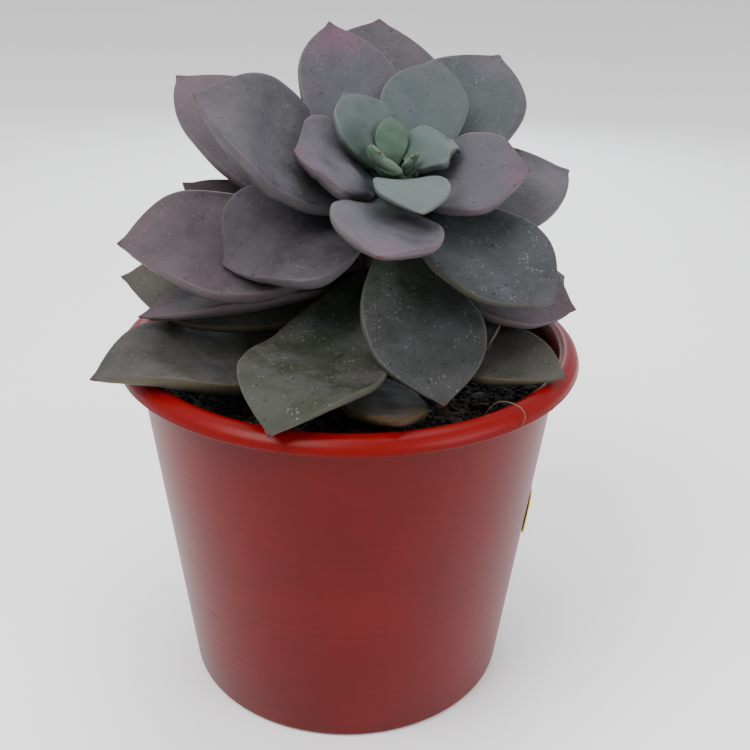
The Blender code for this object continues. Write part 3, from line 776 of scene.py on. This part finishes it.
# --- pot -------------------------------------------------------------------------------------
def pot_profile() -> list[tuple[float, float]]:
    """The turned outline of the CAD pot, measured between two of its drain holes."""
    bm = merged_copy("pot")
    best: list[bmesh.types.BMVert] = []
    azimuths = sorted({round(math.degrees(math.atan2(v.co.y, v.co.x)), 1) for v in bm.verts
                       if v.co.z > 0.02 and v.co.xy.length > 0.03})
    for azimuth in azimuths:
        plane = [v for v in bm.verts if v.co.xy.length < 1e-6 or
                 abs(math.degrees(math.atan2(v.co.y, v.co.x)) - azimuth) < 0.02]
        inside = set(plane)
        start = [v for v in plane if v.co.xy.length < 1e-6]
        if len(start) != 2:
            continue
        start.sort(key=lambda v: v.co.z)
        path, here, before = [start[0]], start[0], None
        while True:
            onward = [e.other_vert(here) for e in here.link_edges
                      if e.other_vert(here) in inside and e.other_vert(here) is not before
                      and e.other_vert(here) not in path]
            if not onward:
                break
            before, here = here, onward[0]
            path.append(here)
        if path[-1] is start[1] and len(path) > len(best):
            best = path
    outline = [(v.co.xy.length, v.co.z) for v in best]
    bm.free()
    return outline


def rounded(outline: Sequence[tuple[float, float]], radius: float) -> list[tuple[float, float]]:
    """Cut each corner of an open outline with a short three-point round."""
    points = [np.array(p) for p in outline]
    out = [tuple(points[0])]
    for before, here, after in zip(points, points[1:], points[2:]):
        back, ahead = before - here, after - here
        r = min(radius, 0.4 * np.linalg.norm(back), 0.4 * np.linalg.norm(ahead))
        a = here + unit(back) * r
        b = here + unit(ahead) * r
        for u in (0.0, 0.5, 1.0):
            q = a * (1 - u) ** 2 + here * 2 * u * (1 - u) + b * u ** 2
            out.append((float(q[0]), float(q[1])))
    out.append(tuple(points[-1]))
    return out


def hole_places() -> list[tuple[float, float, float]]:
    """Centre and radius of each drain hole in the CAD pot's floor."""
    bm = merged_copy("pot")
    walls = [f for f in bm.faces if abs(f.normal.z) < 0.2 and f.calc_center_median().z < 0.004
             and f.calc_center_median().xy.length < 0.034]
    corners = [v.co.copy() for f in walls for v in f.verts]
    bm.free()
    places: list[list[Vector]] = []
    for corner in corners:
        for group in places:
            if (group[0].xy - corner.xy).length < 0.010:
                group.append(corner)
                break
        else:
            places.append([corner])
    out = []
    for group in places:
        flat = np.array([c.xy for c in group])
        centre = 0.5 * (flat.min(axis=0) + flat.max(axis=0))
        out.append((float(centre[0]), float(centre[1]),
                    float(np.linalg.norm(flat - centre, axis=1).max())))
    return out


def turned_solid(outline: Sequence[tuple[float, float]], steps: int) -> bmesh.types.BMesh:
    """Spin an outline that starts and ends on the axis."""
    bm = bmesh.new()
    verts = [bm.verts.new((r, 0.0, z)) for r, z in outline]
    edges = [bm.edges.new(pair) for pair in zip(verts, verts[1:])]
    bmesh.ops.spin(bm, geom=verts + edges, cent=(0.0, 0.0, 0.0), axis=(0.0, 0.0, 1.0),
                   dvec=(0.0, 0.0, 0.0), angle=2.0 * math.pi, steps=steps,
                   use_duplicate=False)
    bmesh.ops.remove_doubles(bm, verts=bm.verts, dist=3e-6)
    bmesh.ops.dissolve_degenerate(bm, edges=bm.edges, dist=1e-6)
    bmesh.ops.recalc_face_normals(bm, faces=bm.faces)
    return bm


def build_pot() -> bpy.types.Object:
    """The pot turned finely, with its drain holes."""
    outline = rounded(pot_profile(), 0.45 * MM)
    bm = turned_solid(outline, POT_STEPS)
    piece = new_piece("pot_moulded", bm, pot_material())
    cutter_bm = bmesh.new()
    for x, y, radius in hole_places():
        bmesh.ops.create_cone(cutter_bm, cap_ends=True, segments=40, radius1=radius,
                              radius2=radius, depth=8.0 * MM,
                              matrix=Matrix.Translation((x, y, 1.0 * MM)))
    cutter_mesh = bpy.data.meshes.new("drain_cutter")
    cutter_bm.to_mesh(cutter_mesh)
    cutter_bm.free()
    cutter = bpy.data.objects.new("drain_cutter", cutter_mesh)
    bpy.context.scene.collection.objects.link(cutter)
    bore = piece.modifiers.new("drain_holes", "BOOLEAN")
    bore.operation = "DIFFERENCE"
    bore.solver = "EXACT"
    bore.object = cutter
    bpy.context.view_layer.update()
    graph = bpy.context.evaluated_depsgraph_get()
    cut = bpy.data.meshes.new_from_object(piece.evaluated_get(graph))
    piece.modifiers.clear()
    old = piece.data
    piece.data = cut
    bpy.data.meshes.remove(old)
    bpy.data.objects.remove(cutter, do_unlink=True)
    bpy.data.meshes.remove(cutter_mesh)
    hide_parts("pot")
    LOG.info("pot outline has %d points", len(outline))
    return piece


def build_flash(material: bpy.types.Material) -> bpy.types.Object:
    """The ragged fin that the mould left round the lip's lower edge."""
    bm = merged_copy("pot")
    lip_r = max(v.co.xy.length for v in bm.verts)
    skirt = min(v.co.z for v in bm.verts if v.co.xy.length > lip_r - 0.3 * MM)
    bm.free()
    fin = bmesh.new()
    steps = 720
    rings: list[list[bmesh.types.BMVert]] = [[], [], [], []]
    for k in range(steps):
        a = 2.0 * math.pi * k / steps
        c, s = math.cos(a), math.sin(a)
        ragged = noise.noise(Vector((c * 26.0, s * 26.0, 3.0)))
        torn = max(0.0, noise.noise(Vector((c * 9.0, s * 9.0, 8.0))))
        drop = (0.10 + 0.12 * abs(ragged) + 0.34 * torn * (0.5 + ragged)) * MM
        for ring, (r, z) in zip(rings, (
                (lip_r - 0.12 * MM, skirt + 0.35 * MM), (lip_r + 0.05 * MM, skirt + 0.10 * MM),
                (lip_r - 0.02 * MM, skirt - drop), (lip_r - 0.28 * MM, skirt + 0.10 * MM))):
            ring.append(fin.verts.new((r * c, r * s, z)))
    for k in range(steps):
        n = (k + 1) % steps
        for a, b in ((0, 1), (1, 2), (2, 3), (3, 0)):
            fin.faces.new((rings[a][k], rings[b][k], rings[b][n], rings[a][n]))
    bmesh.ops.recalc_face_normals(fin, faces=fin.faces)
    return new_piece("pot_lip_flash", fin, material)


# --- potting mix -----------------------------------------------------------------------------
@dataclass(frozen=True)
class Ground:
    """Heights of the CAD mix and search trees of what stands on it."""

    mix: BVHTree
    leaves: BVHTree
    stem: BVHTree
    radius: float
    top: float

    @classmethod
    def measure(cls) -> "Ground":
        """Read the CAD mix, the leaves and the stem."""
        bm = merged_copy("potting_mix")
        mix = BVHTree.FromBMesh(bm)
        low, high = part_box("potting_mix")
        radius = 0.5 * (high.x - low.x)
        bm.free()
        blades = bmesh.new()
        for name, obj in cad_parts.items():
            if name.startswith("leaf_"):
                blades.from_mesh(obj.data)
        leaves = BVHTree.FromBMesh(blades)
        blades.free()
        shaft = merged_copy("stem")
        stem = BVHTree.FromBMesh(shaft)
        shaft.free()
        return cls(mix, leaves, stem, radius, high.z)

    def height(self, x: float, y: float) -> float:
        """Top of the mix at a place."""
        hit = self.mix.ray_cast(Vector((x, y, self.top + 0.05)), Vector((0.0, 0.0, -1.0)))
        return hit[0].z if hit[0] is not None else self.top - 1.5 * MM

    def clearance(self, place: Vector) -> float:
        """Distance from a point to the nearest leaf or to the stem."""
        leaf = self.leaves.find_nearest(place)[3]
        stem = self.stem.find_nearest(place)[3]
        return min(leaf, stem)


def build_mix_surface(ground: Ground, material: bpy.types.Material) -> bpy.types.Object:
    """The mix as a closed body with a crumbly top."""
    bm = bmesh.new()
    rings: list[list[bmesh.types.BMVert]] = []
    for i in range(1, MIX_RINGS + 1):
        q = i / MIX_RINGS
        r = ground.radius * q * 0.998
        ring = []
        for k in range(MIX_SPOKES):
            a = 2.0 * math.pi * (k + 0.5 * (i % 2)) / MIX_SPOKES
            x, y = r * math.cos(a), r * math.sin(a)
            z = ground.height(x * 0.985, y * 0.985)
            crumb = noise.fractal(Vector((x * 420.0, y * 420.0, 1.0)), 0.9, 2.1, 4)
            z += 0.55 * MM * crumb - 1.6 * MM * max(0.0, q - 0.965) / 0.035
            ring.append(bm.verts.new((x, y, z)))
        rings.append(ring)
    centre = bm.verts.new((0.0, 0.0, ground.height(0.0, 0.003) + 0.1 * MM))
    for k in range(MIX_SPOKES):
        n = (k + 1) % MIX_SPOKES
        bm.faces.new((centre, rings[0][k], rings[0][n]))
        for a, b in zip(rings, rings[1:]):
            bm.faces.new((a[k], b[k], b[n], a[n]))
    rim = [e for e in bm.edges if e.is_boundary]
    wall = bmesh.ops.extrude_edge_only(bm, edges=rim)["geom"]
    lowered = [g for g in wall if isinstance(g, bmesh.types.BMVert)]
    for vertex in lowered:
        vertex.co.z = ground.top - 12.0 * MM
        flat = vertex.co.xy.normalized() * (ground.radius - 2.2 * MM)
        vertex.co.x, vertex.co.y = flat
    bmesh.ops.holes_fill(bm, edges=[e for e in bm.edges if e.is_boundary], sides=0)
    bmesh.ops.recalc_face_normals(bm, faces=bm.faces)
    return new_piece("mix_crumbly_top", bm, material)


@dataclass(frozen=True)
class Litter:
    """One kind of loose bit lying on the mix."""

    name: str
    count: int
    size: tuple[float, float]
    flat: float
    long: float
    dark: Colour
    light: Colour


LITTER = (
    Litter("mix_grains", 3400, (0.35, 0.95), 0.75, 1.2, (20, 17, 16), (58, 47, 39)),
    Litter("mix_bark", 260, (0.9, 2.1), 0.4, 1.9, (40, 28, 20), (104, 78, 56)),
    Litter("mix_grit", 300, (0.25, 0.6), 0.8, 1.1, (130, 122, 108), (190, 184, 170)),
)


def build_litter(ground: Ground, kind: Litter, seed: int) -> bpy.types.Object:
    """Scatter one kind of bit over the open parts of the mix."""
    rng = random.Random(seed)
    bm = bmesh.new()
    placed = 0
    for _ in range(kind.count * 3):
        if placed >= kind.count:
            break
        r = ground.radius * 0.975 * math.sqrt(rng.random())
        a = rng.uniform(0.0, 2.0 * math.pi)
        x, y = r * math.cos(a), r * math.sin(a)
        size = rng.uniform(*kind.size) * MM * (0.6 + 0.4 * rng.random())
        z = ground.height(x * 0.985, y * 0.985) + 0.25 * size
        if ground.clearance(Vector((x, y, z))) < size * kind.long + 0.15 * MM:
            continue
        if ground.radius - r < size * kind.long * 0.8:
            continue
        turn = Matrix.Rotation(rng.uniform(0.0, 6.28), 4, "Z")
        tilt = Matrix.Rotation(rng.gauss(0.0, 0.5), 4, "X")
        scale = Matrix.Diagonal((size * kind.long, size, size * kind.flat, 1.0))
        matrix = Matrix.Translation((x, y, z)) @ turn @ tilt @ scale
        made = bmesh.ops.create_icosphere(bm, subdivisions=1, radius=1.0, matrix=matrix)
        for vertex in made["verts"]:
            push = (Vector(vertex.co) - Vector((x, y, z))) * rng.uniform(-0.34, 0.22)
            vertex.co += push
        placed += 1
    material = chip_material(kind.name + "_skin", kind.dark, kind.light)
    LOG.info("%s: %d", kind.name, placed)
    return new_piece(kind.name, bm, material, Shading.FLAT)


def tube(bm: bmesh.types.BMesh, path: Sequence[Vector], radius: float, sides: int = 8) -> None:
    """Add a thin closed tube along a path, tapering at both ends."""
    rings = []
    for i, here in enumerate(path):
        before, after = path[max(i - 1, 0)], path[min(i + 1, len(path) - 1)]
        ahead = (after - before).normalized()
        side = ahead.cross(Vector((0.31, 0.17, 0.93))).normalized()
        up = side.cross(ahead)
        q = i / (len(path) - 1)
        r = radius * (0.35 + 0.65 * math.sin(math.pi * min(max(q, 0.02), 0.98)) ** 0.4)
        rings.append([bm.verts.new(here + (side * math.cos(6.2832 * k / sides)
                                           + up * math.sin(6.2832 * k / sides)) * r)
                      for k in range(sides)])
    for a, b in zip(rings, rings[1:]):
        for k in range(sides):
            n = (k + 1) % sides
            bm.faces.new((a[k], a[n], b[n], b[k]))
    bm.faces.new(list(reversed(rings[0])))
    bm.faces.new(rings[-1])


def arc(points: Sequence[Vector], count: int = 22) -> list[Vector]:
    """A smooth path through a few points."""
    knots = np.linspace(0.0, 1.0, len(points))
    fine = through(knots, np.array([p[:] for p in points]), np.linspace(0.0, 1.0, count))
    return [Vector(p) for p in fine]


def build_fibres(ground: Ground) -> bpy.types.Object:
    """Dry root fibres on the mix, one of them hanging over the lip at the front right."""
    rng = random.Random(41)
    bm = bmesh.new()
    low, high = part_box("pot")
    lip = 0.5 * (high.x - low.x)
    azimuth = math.radians(-49.0)
    radial = Vector((math.cos(azimuth), math.sin(azimuth), 0.0))
    sideways = Vector((-radial.y, radial.x, 0.0))
    inner = radial * (ground.radius - 5.0 * MM) - sideways * 1.5 * MM
    inner.z = ground.height(inner.x, inner.y) + 0.3 * MM
    rim_top = radial * (lip - 2.0 * MM)
    rim_top.z = high.z + 0.9 * MM
    edge = radial * (lip + 0.25 * MM) + sideways * 0.4 * MM
    edge.z = high.z - 0.6 * MM
    lower = radial * (lip + 0.3 * MM) - sideways * 0.3 * MM
    lower.z = high.z - 3.0 * MM
    lift = 0.5 * (inner + rim_top)
    lift.z = high.z - 0.5 * MM
    tube(bm, arc([inner, lift, rim_top, edge, lower]), 0.11 * MM)
    made = 1
    for _ in range(900):
        if made >= 34:
            break
        r = ground.radius * 0.9 * math.sqrt(rng.random())
        a = rng.uniform(0.0, 2.0 * math.pi)
        heading = rng.uniform(0.0, 2.0 * math.pi)
        span = rng.uniform(3.0, 8.0) * MM
        path = []
        for k in range(4):
            x = r * math.cos(a) + span * (k / 3 - 0.5) * math.cos(heading)
            y = r * math.sin(a) + span * (k / 3 - 0.5) * math.sin(heading)
            heading += rng.gauss(0.0, 0.3)
            path.append(Vector((x, y, ground.height(x, y) + rng.uniform(0.3, 0.9) * MM)))
        if min(ground.clearance(p) for p in path) < 0.5 * MM:
            continue
        if max(p.xy.length for p in path) > ground.radius - 1.0 * MM:
            continue
        tube(bm, arc(path, 12), rng.uniform(0.06, 0.13) * MM, 6)
        made += 1
    bmesh.ops.recalc_face_normals(bm, faces=bm.faces)
    LOG.info("fibres: %d", made)
    return new_piece("mix_fibres", bm, chip_material("fibre_skin", (112, 92, 72),
                                                     (190, 172, 146)))


# --- stem ------------------------------------------------------------------------------------
def build_stem() -> bpy.types.Object:
    """The stem with rings of old leaf scars."""
    bm = merged_copy("stem")
    bmesh.ops.subdivide_edges(bm, edges=bm.edges, cuts=2, use_grid_fill=True)
    bmesh.ops.smooth_vert(bm, verts=bm.verts, factor=0.3, use_axis_x=True, use_axis_y=True,
                          use_axis_z=True)
    bm.normal_update()
    moves = []
    for vertex in bm.verts:
        band = math.sin(vertex.co.z * 1500.0 + 2.0 * math.atan2(vertex.co.y, vertex.co.x))
        rough = noise.noise(vertex.co * 900.0)
        moves.append(vertex.normal * (-0.05 + 0.07 * band + 0.08 * rough) * MM)
    for vertex, move in zip(bm.verts, moves):
        vertex.co += move
    bmesh.ops.recalc_face_normals(bm, faces=bm.faces)
    piece = new_piece("stem_scarred", bm, stem_material())
    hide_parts("stem")
    return piece


# --- stage -----------------------------------------------------------------------------------
@dataclass(frozen=True)
class AreaLight:
    """A soft box: where it is, what it is aimed at, its size and its power."""

    name: str
    place: tuple[float, float, float]
    aim: tuple[float, float, float]
    size: float
    power: float
    tint: Colour = (255, 255, 255)


LIGHTS = (
    AreaLight("key_soft", (-0.30, -0.28, 0.66), (0.0, 0.0, 0.09), 0.42, 5.2, (255, 252, 248)),
    AreaLight("fill_soft", (0.46, -0.34, 0.34), (0.0, 0.0, 0.07), 0.40, 2.0, (246, 248, 255)),
    AreaLight("top_soft", (0.02, 0.10, 0.78), (0.0, 0.0, 0.10), 0.50, 3.4),
    AreaLight("back_soft", (0.05, 0.55, 0.30), (0.0, 0.0, 0.08), 0.45, 1.6, (240, 246, 255)),
)


@dataclass(frozen=True)
class View:
    """The main camera, in metres and degrees."""

    place: tuple[float, float, float] = (0.0, -0.2289, 0.1818)
    aim: tuple[float, float, float] = (0.0060, 0.0, 0.0746)
    lens: float = 51.63
    roll: float = 1.15


def aim_matrix(place: Vector, aim: Vector, roll: float = 0.0) -> Matrix:
    """Turn an object's -Z axis to a target.

    Args:
        place: Where the object is.
        aim: What it looks at.
        roll: Degrees of turn about its own line of sight.

    Returns:
        Its world matrix.
    """
    turn = (aim - place).to_track_quat("-Z", "Y").to_matrix().to_4x4()
    return Matrix.Translation(place) @ turn @ Matrix.Rotation(math.radians(roll), 4, "Z")


def build_stage(view: View) -> None:
    """Floor, lights, surroundings and the camera."""
    scene = bpy.context.scene
    bm = bmesh.new()
    bmesh.ops.create_grid(bm, x_segments=2, y_segments=2, size=3.0)
    mesh = bpy.data.meshes.new("floor")
    bm.to_mesh(mesh)
    bm.free()
    mesh.materials.append(floor_material())
    floor = bpy.data.objects.new("floor", mesh)
    scene.collection.objects.link(floor)
    world = bpy.data.worlds.new("studio")
    world.use_nodes = True
    back = world.node_tree.nodes["Background"]
    back.inputs["Color"].default_value = display((252, 252, 255))
    back.inputs["Strength"].default_value = 1.0
    scene.world = world
    for light in LIGHTS:
        data = bpy.data.lights.new(light.name, "AREA")
        data.shape = "DISK"
        data.size = light.size
        data.energy = light.power
        data.color = display(light.tint)[:3]
        lamp = bpy.data.objects.new(light.name, data)
        scene.collection.objects.link(lamp)
        lamp.matrix_world = aim_matrix(Vector(light.place), Vector(light.aim))
    data = bpy.data.cameras.new("main")
    data.lens = view.lens
    data.sensor_width = 36.0
    data.clip_start = 0.01
    data.dof.use_dof = False
    camera = bpy.data.objects.new("main", data)
    scene.collection.objects.link(camera)
    camera.matrix_world = aim_matrix(Vector(view.place), Vector(view.aim), view.roll)
    scene.camera = camera


# --- whole -----------------------------------------------------------------------------------
def main() -> None:
    """Build the visual model over the frame."""
    logging.basicConfig(level=logging.INFO, format="%(message)s")
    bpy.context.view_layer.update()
    stem_bm = merged_copy("stem")
    stem = np.array([v.co for v in stem_bm.verts])
    stem_bm.free()
    build_leaves(stem)
    pot = build_pot()
    build_flash(pot.data.materials[0])
    ground = Ground.measure()
    peat = mix_material()
    build_mix_surface(ground, peat)
    for seed, kind in enumerate(LITTER):
        build_litter(ground, kind, 11 + seed)
    build_fibres(ground)
    build_stem()
    for node, material in (("potting_mix", peat), ("sticker", sticker_material())):
        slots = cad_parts[node].material_slots
        slots[0].material = material
    build_stage(View())


if __name__ == "__main__":
    main()
